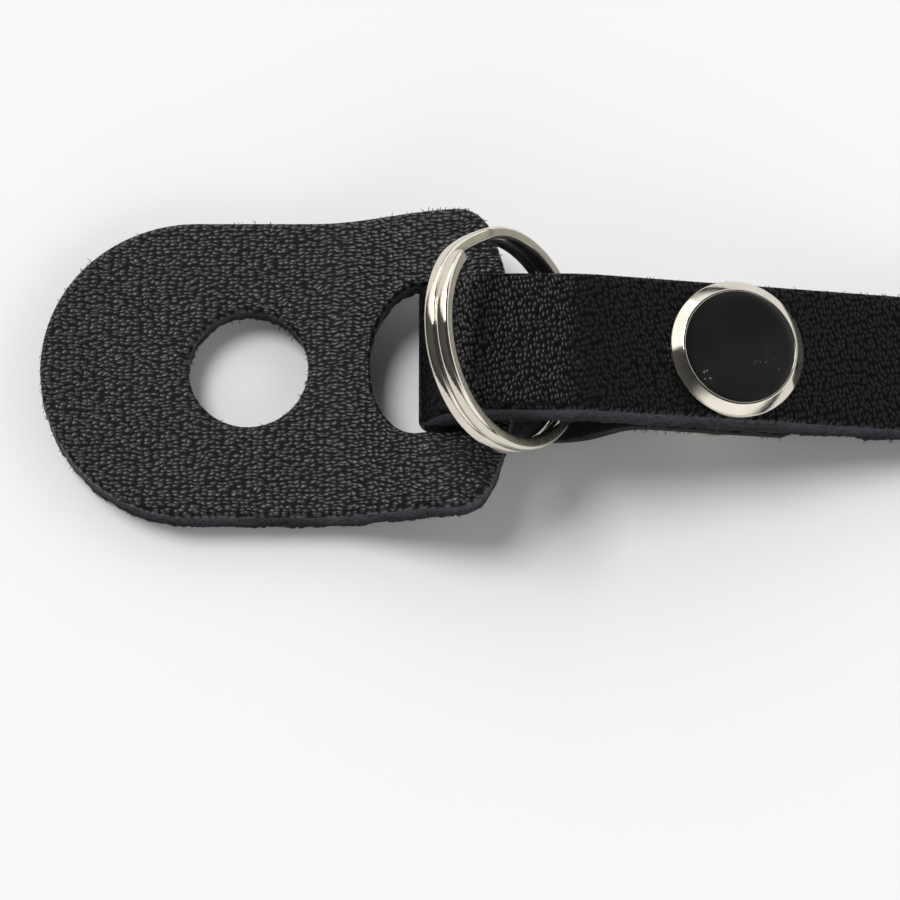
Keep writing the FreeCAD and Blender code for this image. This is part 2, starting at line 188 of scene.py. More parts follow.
def fibrous_leather(name, upper, lower, grit, height, by_depth):
    """Raw leather fibre, mottled from the upper colour to the lower.

    By_depth makes it darker with the depth below the grain. Grit and height are in millimetres.
    """
    material, tree, shader = start_material(name, Specular_IOR_Level=0.2, IOR=1.5, Sheen_Weight=0.08,
                                            Sheen_Roughness=0.5, Roughness=0.95)
    place = add_node(tree, "ShaderNodeTexCoord").outputs["Object"]
    scaled = add_node(tree, "ShaderNodeMapping",
                      {"Vector": place, "Scale": (700 / grit, 700 / grit, 1000 / grit)})
    fibre = add_node(tree, "ShaderNodeTexNoise",
                     {"Vector": scaled.outputs[0], "Scale": 1.0, "Detail": 4.0, "Roughness": 0.65})
    depth = add_node(tree, "ShaderNodeAttribute", attribute_name="depth")
    contrast = add_node(tree, "ShaderNodeMapRange",
                        {"Value": fibre.outputs["Fac"], "From Min": 0.35, "From Max": 0.65})
    brushed = add_node(tree, "ShaderNodeTexNoise", {"Vector": place, "Scale": 260.0, "Detail": 2.0})
    patches = add_node(tree, "ShaderNodeMapRange",
                       {"Value": brushed.outputs["Fac"], "From Min": 0.35, "From Max": 0.65,
                        "To Min": -0.18, "To Max": 0.18})
    # The colour goes darker with the depth below the grain, and darker in a thin band just under it.
    deeper = add_node(tree, "ShaderNodeMath", {0: depth.outputs["Fac"], 1: by_depth, 2: patches.outputs[0]},
                      operation="MULTIPLY_ADD")
    ragged = add_node(tree, "ShaderNodeMath", {0: contrast.outputs[0], 1: 0.55, 2: deeper.outputs[0]},
                      operation="MULTIPLY_ADD")
    share = add_node(tree, "ShaderNodeMapRange",
                     {"Value": ragged.outputs[0], "From Min": 0.35 * by_depth,
                      "From Max": 0.55 + 0.5 * by_depth})
    dark_under_grain = add_node(tree, "ShaderNodeMapRange",
                       {"Value": depth.outputs["Fac"], "From Min": 0.06, "From Max": 0.22,
                        "To Min": 0.9, "To Max": 0.0}, interpolation_type="SMOOTHSTEP")
    darkest = add_node(tree, "ShaderNodeMath", {0: share.outputs[0], 1: dark_under_grain.outputs[0]},
                       operation="MAXIMUM")
    colour = add_node(tree, "ShaderNodeMix",
                      {"Factor": darkest.outputs[0], 6: linear(upper), 7: linear(lower)}, data_type="RGBA")
    # Painted shade: along the strap's pared tail, which lies under the top layer, the colour is mixed towards
    # the dark one, for the shadow the tail lies in.
    hide = add_node(tree, "ShaderNodeUVMap", uv_map="flat_mm")
    along = add_node(tree, "ShaderNodeSeparateXYZ", {0: hide.outputs["UV"]})
    tail = add_node(tree, "ShaderNodeMapRange",
                    {"Value": along.outputs["X"], "From Min": 62.0, "From Max": 70.0,
                     "To Min": 0.0, "To Max": 0.75})
    tail_in_shade = add_node(tree, "ShaderNodeMix",
                    {"Factor": tail.outputs[0], 6: colour.outputs[2], 7: linear(lower)}, data_type="RGBA")
    bump = add_node(tree, "ShaderNodeBump",
                    {"Strength": 1.0, "Distance": height * MM, "Height": fibre.outputs["Fac"]})
    tree.links.new(tail_in_shade.outputs[2], shader.inputs["Base Color"])
    tree.links.new(bump.outputs[0], shader.inputs["Normal"])
    return material


CUT_EDGE = fibrous_leather("cut_leather_edge", "#42454f", "#0e0f12", 0.22, 0.16, 1.0)
FLESH = fibrous_leather("napped_flesh_side", "#3a3b40", "#141417", 0.45, 0.22, 0.0)
print("fibrous leather", CUT_EDGE.name, FLESH.name)

# %% [markdown]
# ## Nickel plate and enamel
# The ring and the screw are steel with bright nickel plate. Nickel is a slightly warm mirror, and
# tumbling leaves it with faint ripples and hairline scratches, so its reflections waver. The ring's
# flat sides are rubbed rougher, and their tone is drawn darker and olive. That tone is a painted
# reflection of the dark strap and the shadowed floor. The fill in the screw's head is black enamel,
# levelled flat, with a few specks of dust in it.

# %% Metal and enamel materials


def nickel_plate(name, dark, light, smooth, dull):
    """Nickel whose tone goes from dark to light, and whose roughness from smooth to dull."""
    material, tree, shader = start_material(name, Metallic=1.0)
    place = add_node(tree, "ShaderNodeTexCoord").outputs["Object"]
    ripple = add_node(tree, "ShaderNodeTexNoise", {"Vector": place, "Scale": 900.0, "Detail": 2.0})
    hairlines = add_node(tree, "ShaderNodeMapping", {"Vector": place, "Scale": (1500, 1500, 16000)})
    scratch = add_node(tree, "ShaderNodeTexNoise",
                       {"Vector": hairlines.outputs[0], "Scale": 1.0, "Detail": 4.0})
    tone = add_node(tree, "ShaderNodeMix",
                    {"Factor": ripple.outputs["Fac"], 6: linear(dark), 7: linear(light)},
                    data_type="RGBA")
    rough = add_node(tree, "ShaderNodeMapRange",
                     {"Value": scratch.outputs["Fac"], "From Min": 0.3, "From Max": 0.7,
                      "To Min": smooth, "To Max": dull})
    relief = add_node(tree, "ShaderNodeMath",
                      {0: scratch.outputs["Fac"], 1: 0.25, 2: ripple.outputs["Fac"]},
                      operation="MULTIPLY_ADD")
    bump = add_node(tree, "ShaderNodeBump",
                    {"Strength": 1.0, "Distance": 0.008 * MM, "Height": relief.outputs[0]})
    tree.links.new(tone.outputs[2], shader.inputs["Base Color"])
    tree.links.new(rough.outputs[0], shader.inputs["Roughness"])
    tree.links.new(bump.outputs[0], shader.inputs["Normal"])
    return material


def black_enamel():
    """Gloss black enamel with gathered specks of pale dust and a faint orange peel."""
    material, tree, shader = start_material("levelled_black_enamel", IOR=1.5)
    place = add_node(tree, "ShaderNodeTexCoord").outputs["Object"]
    specks = add_node(tree, "ShaderNodeTexVoronoi", {"Vector": place, "Scale": 2600.0, "Randomness": 1.0})
    patches = add_node(tree, "ShaderNodeTexNoise", {"Vector": place, "Scale": 260.0, "Detail": 1.0})
    near = add_node(tree, "ShaderNodeMapRange",
                    {"Value": specks.outputs["Distance"], "From Min": 0.10, "From Max": 0.22,
                     "To Min": 1.0, "To Max": 0.0})
    gathered = add_node(tree, "ShaderNodeMapRange",
                        {"Value": patches.outputs["Fac"], "From Min": 0.56, "From Max": 0.66})
    dust = add_node(tree, "ShaderNodeMath", {0: near.outputs[0], 1: gathered.outputs[0]},
                    operation="MULTIPLY")
    colour = add_node(tree, "ShaderNodeMix",
                      {"Factor": dust.outputs[0], 6: linear("#0d0d0c"), 7: linear("#b4b3af")},
                      data_type="RGBA")
    rough = add_node(tree, "ShaderNodeMapRange",
                     {"Value": patches.outputs["Fac"], "From Min": 0.3, "From Max": 0.7,
                      "To Min": 0.22, "To Max": 0.32})
    orange_peel = add_node(tree, "ShaderNodeTexNoise", {"Vector": place, "Scale": 2500.0, "Detail": 1.0})
    bump = add_node(tree, "ShaderNodeBump",
                    {"Strength": 1.0, "Distance": 0.004 * MM, "Height": orange_peel.outputs["Fac"]})
    tree.links.new(colour.outputs[2], shader.inputs["Base Color"])
    tree.links.new(rough.outputs[0], shader.inputs["Roughness"])
    tree.links.new(bump.outputs[0], shader.inputs["Normal"])
    return material


NICKEL = nickel_plate("bright_nickel_plate", "#cfc8ba", "#e2dcd0", 0.05, 0.13)
# The flats are rougher, and their darker olive tone is a painted reflection of the dark strap and the
# shadowed floor.
RUBBED_AND_SHADED = nickel_plate("rubbed_shaded_nickel_flats", "#8a8677", "#a39f90", 0.22, 0.36)
ENAMEL = black_enamel()
print("hard finishes", NICKEL.name, RUBBED_AND_SHADED.name, ENAMEL.name)

# %% [markdown]
# ## Side views
# Both leather pieces are cut flat and then bent, so they are modelled that way too. A side view is a
# list of legs, each with a length and a turn, walked from a start point: no turn makes a straight
# run, and a turn makes an arc. The corners and radii are the construction's.

# %% Walk along a side view


def rounded_legs(corners):
    """(length, turn) legs through (x, z, radius) corners, in millimetres and radians."""
    legs = []
    here = Vector(corners[0][:2])
    for before, corner, after in zip(corners, corners[1:], corners[2:]):
        place = Vector(corner[:2])
        arrive = (place - Vector(before[:2])).normalized()
        leave = (Vector(after[:2]) - place).normalized()
        turn = math.atan2(arrive.cross(leave), arrive.dot(leave))
        reach = corner[2] * math.tan(abs(turn) / 2)
        legs.append(((place - here).length - reach, 0.0))
        legs.append((corner[2] * abs(turn), turn))
        here = place + leave * reach
    legs.append(((Vector(corners[-1][:2]) - here).length, 0.0))
    return legs


def walk(start, heading, legs, distance):
    """The place and heading after this distance along the legs."""
    place = Vector(start)
    for number, (length, turn) in enumerate(legs):
        last = number == len(legs) - 1
        step = distance if last else min(distance, length)
        if step <= 0 and number > 0:
            break
        bend = turn * step / length if length > 0 else 0.0
        chord = step if abs(bend) < 1e-9 else step * math.sin(bend / 2) / (bend / 2)
        middle = heading + bend / 2
        place += Vector((math.cos(middle), math.sin(middle))) * chord
        heading += bend
        distance -= step
    return place, heading


# %% [markdown]
# The strap's side view starts at its square end, runs along the grain side, goes round the fold and
# comes back under itself. The tail is pared thinner where the screw holds it.

# %% The strap's side view
STRAP_THICK = 3.2
STRAP_END = 65.0
NECK_X, NECK_RADIUS = 52.68, 40
SEAT = Vector((35.1, 7.582))
SLOPE = math.radians(14)
FOLD_RADIUS, FOLD_TOP = 5.15, 10.3
SHOULDER_X, LOOP_X = 17.6, 24.2
STACK = 4.97  # from the screw's seat down to the tail's underside
TAIL_FROM, TAIL_TO = -6.2, 5.6  # the pared tail's two ends along the slope, from the seat
PARED_THICK, PARE_LONG = 1.7, 6.5


def below_seat(along, depth):
    """A corner measured along the slope and down from the screw's seat."""
    x = SEAT.x + along * math.cos(SLOPE) - depth * math.sin(SLOPE)
    z = SEAT.y - along * math.sin(SLOPE) - depth * math.cos(SLOPE)
    return x, z


OVER = [(STRAP_END, STRAP_THICK, 0), (NECK_X, STRAP_THICK, NECK_RADIUS), (LOOP_X, FOLD_TOP, 12),
        (SHOULDER_X, FOLD_TOP, 0)]
UNDER = [(SHOULDER_X, 0.0, 0), (LOOP_X, 0.0, 5), (*below_seat(TAIL_FROM, STACK), 2),
         (*below_seat(TAIL_TO, STACK), 0)]
OVER_LEGS = rounded_legs(OVER)
STRAP_LEGS = OVER_LEGS + [(math.pi * FOLD_RADIUS, math.pi)] + rounded_legs(UNDER)
STRAP_LONG = sum(length for length, turn in STRAP_LEGS)
TAIL_BEND = sum(length for length, turn in STRAP_LEGS[:-5])
NECK = Vector((NECK_X, STRAP_THICK))
SEAT_S = OVER_LEGS[0][0] + OVER_LEGS[1][0] + (NECK - SEAT).length - NECK_RADIUS * math.tan(SLOPE / 2)
print(f"strap is {STRAP_LONG:.1f} mm long when flat, screw seat at {SEAT_S:.1f} mm,",
      f"tail bend at {TAIL_BEND:.1f} mm")


def bend_strap(flat):
    """Where a point (distance, across, depth) of the flat strap goes, in metres."""
    place, heading = walk((STRAP_END, STRAP_THICK), math.pi, STRAP_LEGS, flat.x)
    share = min(max((flat.x - TAIL_BEND) / PARE_LONG, 0), 1)
    pared = 1 - (1 - PARED_THICK / STRAP_THICK) * share * share * (3 - 2 * share)
    inward = Vector((-math.sin(heading), math.cos(heading))) * -flat.z * pared
    return Vector((place.x + inward.x, flat.y, place.y + inward.y)) * MM


# %% [markdown]
# The tab lies flat, with its nose lifted a little, and climbs to pass through the strap's fold. Its
# plan is what the die cut, so a point keeps its x and y and takes its height from the side view.

# %% The tab's side view
TAB_THICK = 2.8
RISE_FROM, RISE_TO = 7.2, 14.8
BAR_LOW, BAR_TOP = 3.75, 6.55
RISE = math.atan2(BAR_LOW, RISE_TO - RISE_FROM)
SHIFT = TAB_THICK * math.tan(RISE / 2)
TAB_TOP = [(-16.1, 3.6, 0), (-9.0, TAB_THICK, 60), (RISE_FROM - SHIFT, TAB_THICK, 10),
           (RISE_TO - SHIFT, BAR_TOP, 12.8), (20.5, BAR_TOP, 0)]
TAB_LOW = [(-16.1, 0.8, 0), (-9.0, 0.0, 62.8), (RISE_FROM, 0.0, 12.8), (RISE_TO, BAR_LOW, 10),
           (20.5, BAR_LOW, 0)]


def heights(corners):
    """The side view as (x, z, distance) points, a tenth of a millimetre apart."""
    legs = rounded_legs(corners)
    first = Vector(corners[1][:2]) - Vector(corners[0][:2])
    heading = math.atan2(first.y, first.x)
    long = sum(length for length, turn in legs)
    steps = int(long * 10)
    places = [(long * n / steps, walk(corners[0][:2], heading, legs, long * n / steps)[0])
              for n in range(steps + 1)]
    return [(place.x, place.y, distance) for distance, place in places]


def look_up(points, x):
    """The height and distance at this x, between the two nearest points."""
    low, high = 0, len(points) - 1
    while high - low > 1:
        middle = (low + high) // 2
        if points[middle][0] <= x:
            low = middle
        else:
            high = middle
    share = (x - points[low][0]) / (points[high][0] - points[low][0])
    z = points[low][1] + (points[high][1] - points[low][1]) * share
    return z, points[low][2] + (points[high][2] - points[low][2]) * share


TAB_TOP_LINE = heights(TAB_TOP)
TAB_LOW_LINE = heights(TAB_LOW)


def bend_tab(flat):
    """Where a point (x, y, depth) of the flat tab goes, in metres."""
    top = look_up(TAB_TOP_LINE, flat.x)[0]
    low = look_up(TAB_LOW_LINE, flat.x)[0]
    return Vector((flat.x, flat.y, top + (top - low) * flat.z / TAB_THICK)) * MM


print("tab's top at the nose", round(look_up(TAB_TOP_LINE, -15)[0], 2),
      "and at the bar", round(look_up(TAB_TOP_LINE, 19)[0], 2))

# %% [markdown]
# ## Die-cut leather
# A blank starts as its outline, with corners rounded by a vertex bevel, and is filled around its
# holes. Slices across it give it enough points to bend. Its rim is then extruded round the outline
# step by step: over the rolled grain edge, down the ragged cut, and back under the flesh side.
# Sizes here are millimetres on the flat hide, with the grain at height zero.

# %% Outlines
ROLL = 0.38


def add_loop(blank, corners, reshape=None, spacing=0.35):
    """Adds a closed loop of short edges to the blank, from (x, y, rounding) corners."""
    bm = bmesh.new()
    verts = [bm.verts.new((x, y, 0)) for x, y, rounding in corners]
    bm.faces.new(verts)
    for vert, (x, y, rounding) in zip(verts, corners):
        if rounding:
            bmesh.ops.bevel(bm, geom=[vert], offset=rounding, segments=max(4, int(rounding * 5)),
                            profile=0.5, affect="VERTICES", material=-1)
    bmesh.ops.remove_doubles(bm, verts=bm.verts[:], dist=0.01)
    for edge in bm.edges[:]:
        cuts = int(edge.calc_length() / spacing)
        if cuts:
            bmesh.ops.subdivide_edges(bm, edges=[edge], cuts=cuts)
    if reshape:
        for vert in bm.verts:
            vert.co = reshape(vert.co)
    add_copy(blank, bm)


def add_round_hole(blank, x, y, radius):
    """Adds a circle of short edges to the blank, which the fill leaves open."""
    bm = bmesh.new()
    bmesh.ops.create_circle(bm, cap_ends=True, segments=int(radius * 18), radius=radius,
                            matrix=Matrix.Translation((x, y, 0)))
    add_copy(blank, bm)


def add_copy(blank, bm):
    """Puts everything in bm into the blank."""
    scratch = bpy.data.meshes.new("scratch")
    bm.to_mesh(scratch)
    bm.free()
    blank.from_mesh(scratch)
    bpy.data.meshes.remove(scratch)


def outward_of(bm):
    """For each rim vertex of a flat region, the mitred direction that points out of the leather."""
    sides = {}
    for edge in bm.edges:
        if edge.is_boundary:
            along = (edge.verts[1].co - edge.verts[0].co).normalized()
            side = Vector((along.y, -along.x, 0))
            inside = edge.link_faces[0].calc_center_median() - edge.verts[0].co
            if side.dot(inside) > 0:
                side.negate()
            for vert in edge.verts:
                sides.setdefault(vert, []).append(side)
    found = {}
    for vert, pair in sides.items():
        middle = (pair[0] + pair[-1]).normalized()
        found[vert] = middle / max(middle.dot(pair[0]), 0.5)
    return found


def fill_between(bm):
    """One flat sheet between the outline and its holes."""
    bmesh.ops.delete(bm, geom=bm.faces[:], context="FACES_ONLY")
    bmesh.ops.triangle_fill(bm, edges=bm.edges[:], use_beauty=True, normal=(0, 0, 1))
    bmesh.ops.recalc_face_normals(bm, faces=bm.faces[:])
    if bm.faces[:][0].normal.z < 0:
        bmesh.ops.reverse_faces(bm, faces=bm.faces[:])


def slice_across(bm, axis, step):
    """Parallel cuts about a step apart, so that the flat sheet can bend."""
    places = [vert.co[axis] for vert in bm.verts]
    low, high = min(places), max(places)
    count = int((high - low) / step)
    normal = Vector((0, 0, 0))
    normal[axis] = 1
    for number in range(1, count):
        here = normal * (low + (high - low) * number / count)
        everything = bm.verts[:] + bm.edges[:] + bm.faces[:]
        bmesh.ops.bisect_plane(bm, geom=everything, dist=0.02, plane_co=here, plane_no=normal)


# %% [markdown]
# The rim's profile is a list of (outward, depth) steps. The first few turn the grain over the edge
# in a quarter circle, the next go down the cut in quarter millimetre rows that loose fibre pushes
# in and out, and the last tuck back under. A blank keeps each vertex's column in a layer, so every
# row of the rim knows which point of the outline it belongs to.

# %% Extrude the rim
ROW_HIGH = 0.26
LAST_ROW_LIFT = 0.08
TUCK = 0.14


def ragged(place, depth, seed):
    """How far the torn fibre stands out of the cut here: -1 to 1, wilder with depth."""
    slow = noise.noise(Vector((place.x * 0.8, place.y * 0.8, seed + depth)))
    fast = noise.noise(Vector((place.x * 4.0, place.y * 4.0, seed + depth * 6)))
    return (0.4 * slow + 0.6 * fast) * (0.2 + 0.8 * depth)


def extrude_rim(bm, thick, draft, in_hole, tear, seed):
    """The rolled edge, the cut and the underside of a filled flat region, made into one shell.

    The cut leans outward by the draft, and a hole is that much wider at the flesh side.
    """
    column = bm.verts.layers.int.new("column")
    depth_layer = bm.verts.layers.float.new("depth")
    outward = outward_of(bm)
    rim = [(vert.co.copy(), outward[vert]) for vert in outward]
    for number, vert in enumerate(outward):
        vert[column] = number
    edges = [edge for edge in bm.edges if edge.is_boundary]
    top = bm.verts[:] + bm.edges[:] + bm.faces[:]
    copied = bmesh.ops.duplicate(bm, geom=top)["geom"]
    under_verts = [item for item in copied if isinstance(item, bmesh.types.BMVert)]
    under_faces = [item for item in copied if isinstance(item, bmesh.types.BMFace)]
    bmesh.ops.translate(bm, verts=under_verts, vec=(0, 0, -thick))
    bmesh.ops.reverse_faces(bm, faces=under_faces)
    for vert in under_verts:
        vert[depth_layer] = 1.0
    for face in under_faces:
        face.material_index = 2
    turns = [math.radians(angle) for angle in (22, 45, 68, 90)]
    steps = [(ROLL * math.sin(turn), ROLL * (1 - math.cos(turn)), 0) for turn in turns]
    rows = int((thick - ROLL) / ROW_HIGH)
    for row in range(1, rows + 1):
        share = row / rows
        steps.append((ROLL, ROLL + (thick - ROLL - LAST_ROW_LIFT) * share, 1))
    steps.append((ROLL - TUCK, thick, 2))
    steps.append((0.0, thick, 2))
    for out, depth, material in steps:
        made = bmesh.ops.extrude_edge_only(bm, edges=edges)["geom"]
        verts = {item for item in made if isinstance(item, bmesh.types.BMVert)}
        edges = [item for item in made
                 if isinstance(item, bmesh.types.BMEdge) and set(item.verts) <= verts]
        for face in made:
            if isinstance(face, bmesh.types.BMFace):
                face.material_index = material
        for vert in verts:
            place, side = rim[vert[column]]
            lean = 0.0
            if material and out > 0:
                lean = (-draft if in_hole(place) else draft) * (depth - ROLL) / (thick - ROLL)
            loose = tear * ragged(place, depth / thick, seed) if material == 1 else 0.0
            vert.co = place + side * (out + lean + loose) + Vector((0, 0, -depth))
            vert[depth_layer] = depth / thick
    bmesh.ops.remove_doubles(bm, verts=bm.verts[:], dist=0.002)
    open_edges = sum(edge.is_boundary for edge in bm.edges)
    print(f"rim of {len(rim)} columns and {len(steps)} rows, {open_edges} open edges")


# %% [markdown]
# A finished sheet gets its hide coordinates before it is bent, then the bend, and then its normals.

# %% Bend, colour and hand over a piece


def bend_sheet(bm, place_of, unroll):
    """Writes each corner's place on the hide to the UV map, then bends the sheet."""
    hide = bm.loops.layers.uv.new("flat_mm")
    for face in bm.faces:
        face.smooth = True
        for loop in face.loops:
            loop[hide].uv = (unroll(loop.vert.co.x), loop.vert.co.y)
    for vert in bm.verts:
        vert.co = place_of(vert.co)
    bmesh.ops.recalc_face_normals(bm, faces=bm.faces[:])


def hand_over(name, bm, materials, body, node=None):
    """The finished mesh as an object that rides on its body and stands for its node."""
    mesh = bpy.data.meshes.new(name)
    bm.to_mesh(mesh)
    bm.free()
    for material in materials:
        mesh.materials.append(material)
    piece = bpy.data.objects.new(name, mesh)
    bpy.context.scene.collection.objects.link(piece)
    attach(piece, body)
    if node:
        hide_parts(node)
    triangles = sum(len(face.vertices) - 2 for face in mesh.polygons)
    print(f"{name}: {len(mesh.vertices)} vertices, {triangles} triangles")


# %% [markdown]
# ## The strap
# One long strip, 10 mm wide, with a hole for the screw's barrel through each layer and two rivet
# holes near its square end.

# %% Cut and bend the strap
STRAP_HALF = 5.0
SCREW_HOLE, RIVET_HOLE = 2.6, 1.5
RIVETS_X = (55.5, 61.0)
bm = bmesh.new()
half = STRAP_HALF - ROLL
ends = (ROLL, STRAP_LONG - ROLL)
add_loop(bm, [(ends[0], -half, 0.2), (ends[1], -half, 0.5), (ends[1], half, 0.5), (ends[0], half, 0.2)])
tail_seat = STRAP_LONG - TAIL_TO
rivets = [(STRAP_END - x, RIVET_HOLE) for x in RIVETS_X]
for x, radius in [(SEAT_S, SCREW_HOLE), (tail_seat, SCREW_HOLE)] + rivets:
    add_round_hole(bm, x, 0, radius + ROLL)
fill_between(bm)
slice_across(bm, 0, 0.4)
slice_across(bm, 1, 0.8)
extrude_rim(bm, STRAP_THICK, 0.12, lambda place: abs(place.y) < 4, 0.26, 3.0)
bend_sheet(bm, bend_strap, lambda x: x)
strap_cut = [(f.calc_center_median(), f.normal.copy()) for f in bm.faces if f.material_index == 1]
hand_over("strap_leather", bm, [STRAP_GRAIN, CUT_EDGE, FLESH], "strap", "strap")

# %% [markdown]
# ## The protector tab
# A softer 2.8 mm leather. Its nose is a half circle, its far end is bowed, and the slot's end
# towards the nose is half an ellipse. The round hole takes the lug.

# %% Cut and bend the tab
TAB_HALF, TAB_NOSE, TAB_END = 11.1, -15.1, 19.5
BOW_RADIUS = 24.7
SLOT_X, SLOT_HALF, SLOT_LEFT, SLOT_RIGHT = 12.4, 5.5, 3.5, 4.7
LUG_HOLE = 4.35
bm = bmesh.new()
half = TAB_HALF - ROLL
nose, stop = TAB_NOSE + ROLL, TAB_END - ROLL
slot_half = SLOT_HALF + ROLL


def bowed_end(place):
    """Pulls the corners of the far end back, so that the end is an arc of the bow's radius."""
    share = min(max((place.x - 12) / 5, 0), 1)
    return Vector((place.x - (BOW_RADIUS - math.sqrt(BOW_RADIUS**2 - place.y**2)) * share, place.y, 0))


def slot_shape(place):
    """Squeezes a half-round square into the slot: half an ellipse left, straight sides right."""
    reach = (SLOT_LEFT if place.x < 0 else SLOT_RIGHT) + ROLL
    return Vector((SLOT_X + place.x * reach / slot_half, place.y, 0))


add_loop(bm, [(nose, -half, half - 0.001), (stop, -half, 1.4), (stop, half, 1.4), (nose, half, half - 0.001)],
         bowed_end)
add_loop(bm, [(-slot_half, -slot_half, slot_half - 0.001), (slot_half, -slot_half, 1.2),
              (slot_half, slot_half, 1.2), (-slot_half, slot_half, slot_half - 0.001)], slot_shape)
add_round_hole(bm, 0, 0, LUG_HOLE + ROLL)
fill_between(bm)
slice_across(bm, 0, 0.4)
slice_across(bm, 1, 0.8)
extrude_rim(bm, TAB_THICK, 0.16, lambda place: abs(place.y) < 7 and -6 < place.x < 18, 0.26, 11.0)
bend_sheet(bm, bend_tab, lambda x: look_up(TAB_TOP_LINE, x)[1])
tab_cut = [(f.calc_center_median(), f.normal.copy()) for f in bm.faces if f.material_index == 1]
hand_over("tab_leather", bm, [TAB_GRAIN, CUT_EDGE, FLESH], "tab", "lug_tab")

# %% [markdown]
# ## Stray fibres
# Torn fibre stands out of the cut in small tufts. One curved, pointed fibre is modelled once and
# copied, turned at random about the edge's own direction. They gather where a slow noise is high.
# They grow on the strap's long sides past the ring, on the tab's outline and in its round hole. In
# the slot and the loop the two leathers rub each other clean, the ring does so where it swings, and
# the barrel does in the screw's hole. None grows so low that it would go through the table.

# %% Fibres along the cuts


def one_fibre():
    """A fibre of unit length that leaves the origin along Z and bends over."""
    bm = bmesh.new()
    bmesh.ops.create_circle(bm, segments=4, radius=0.035)
    bmesh.ops.spin(bm, geom=bm.edges[:], cent=(1.1, 0, 0), axis=(0, 1, 0), angle=math.radians(48),
                   steps=4)
    tip = sorted(bm.verts, key=lambda vert: vert.co.z)[-4:]
    bmesh.ops.pointmerge(bm, verts=tip, merge_co=sum((vert.co for vert in tip), Vector()) / 4)
    bmesh.ops.recalc_face_normals(bm, faces=bm.faces[:])
    mesh = bpy.data.meshes.new("fibre_pattern")
    bm.to_mesh(mesh)
    bm.free()
    return mesh


FIBRE = one_fibre()
FIBRE_ROOT = 0.03
FIBRE_SHADE = 0.3  # coloured like the cut at this share of its depth


def scatter_fibres(name, cuts, count, seed, body):
    """Fibres at random places of these cuts, most of them a seventh to two fifths of a millimetre long.

    The cuts are put in order of their places first, so that every run draws the same fibres.
    """
    chance = random.Random(seed)
    cuts = sorted(cuts, key=lambda cut: [round(value / MM, 3) for value in cut[0]])
    bm = bmesh.new()
    depth_layer = bm.verts.layers.float.new("depth")
    planted = 0
    while planted < count:
        place, out = chance.choice(cuts)
        gather = noise.noise(place * 260 + Vector((seed, 0, 0)))
        if gather < chance.uniform(-0.25, 0.55):
            continue
        before = len(bm.verts)
        bm.from_mesh(FIBRE)
        bm.verts.ensure_lookup_table()
        jitter = Vector([chance.gauss(0, 0.5) for axis in range(3)])
        direction = (out + jitter).normalized()
        long = chance.uniform(0.14, 0.38) * (1.8 if chance.random() < 0.08 else 1.0)
        turn = direction.to_track_quat("Z", "X").to_matrix().to_4x4()
        spin = Matrix.Rotation(chance.uniform(0, math.tau), 4, "Z")
        size = Matrix.Diagonal((0.75, 0.75, long, 1.0))
        root = Matrix.Translation(place - out * FIBRE_ROOT * MM)
        bmesh.ops.transform(bm, matrix=root @ turn @ spin @ size @ Matrix.Scale(MM, 4),
                            verts=bm.verts[before:])
        planted += 1
    for vert in bm.verts:
        vert[depth_layer] = FIBRE_SHADE
    hand_over(name, bm, [CUT_EDGE], body)


OFF_TABLE = 0.4 * MM
PAST_RING, LONG_SIDE = 28 * MM, 4.6 * MM
SLOT_FROM, SLOT_SIDE = 8 * MM, 7.2 * MM
strap_rim = [(place, out) for place, out in strap_cut
             if place.z > OFF_TABLE and place.x > PAST_RING and abs(place.y) > LONG_SIDE]
tab_rim = [(place, out) for place, out in tab_cut
           if place.z > OFF_TABLE and not (place.x > SLOT_FROM and abs(place.y) < SLOT_SIDE)]
scatter_fibres("strap_fibres", strap_rim, 640, 5, "strap")
scatter_fibres("tab_fibres", tab_rim, 720, 8, "tab")
print(f"fibres grow on {len(strap_rim)} of {len(strap_cut)} strap faces,",
      f"{len(tab_rim)} of {len(tab_cut)} tab faces")

# %% [markdown]
# ## The split ring
# Two coils of flattened spring wire, with crowned sides. The wire's section is drawn once and spun
# round twice, less a gap. Over one short step the spin also moves it down by one coil's height.

# %% Spin the ring
EYE = next(mount for mount in frame["record"]["mounts"] if mount["name"] == "ring_eye")
RING_RADIUS = 7.55
COIL_PITCH = 1.07
WIRE_HALF_WIDE, WIRE_HALF_HIGH, WIRE_CROWN = 0.45, 0.525, 0.28
RING_TURN = 141
COIL = (328, 131, 0.0)  # degrees, steps and drop


def rounded_section(corners):
    """A flat polygon in the XZ plane from (x, z, rounding) corners, rounded by vertex bevels."""
    bm = bmesh.new()
    verts = [bm.verts.new((x, 0, z)) for x, z, rounding in corners]
    bm.faces.new(verts)
    for vert, (x, z, rounding) in zip(verts, corners):
        if rounding:
            bmesh.ops.bevel(bm, geom=[vert], offset=rounding, segments=5, profile=0.5,
                            affect="VERTICES", material=-1)
    return bm


def wire_section():
    """The wire's section at the upper coil, a rectangle with its corners rounded."""
    middle = COIL_PITCH / 2
    inner, outer = RING_RADIUS - WIRE_HALF_WIDE, RING_RADIUS + WIRE_HALF_WIDE
    low, high = middle - WIRE_HALF_HIGH, middle + WIRE_HALF_HIGH
    return rounded_section([(inner, low, WIRE_CROWN), (outer, low, WIRE_CROWN), (outer, high, WIRE_CROWN),
                            (inner, high, WIRE_CROWN)])


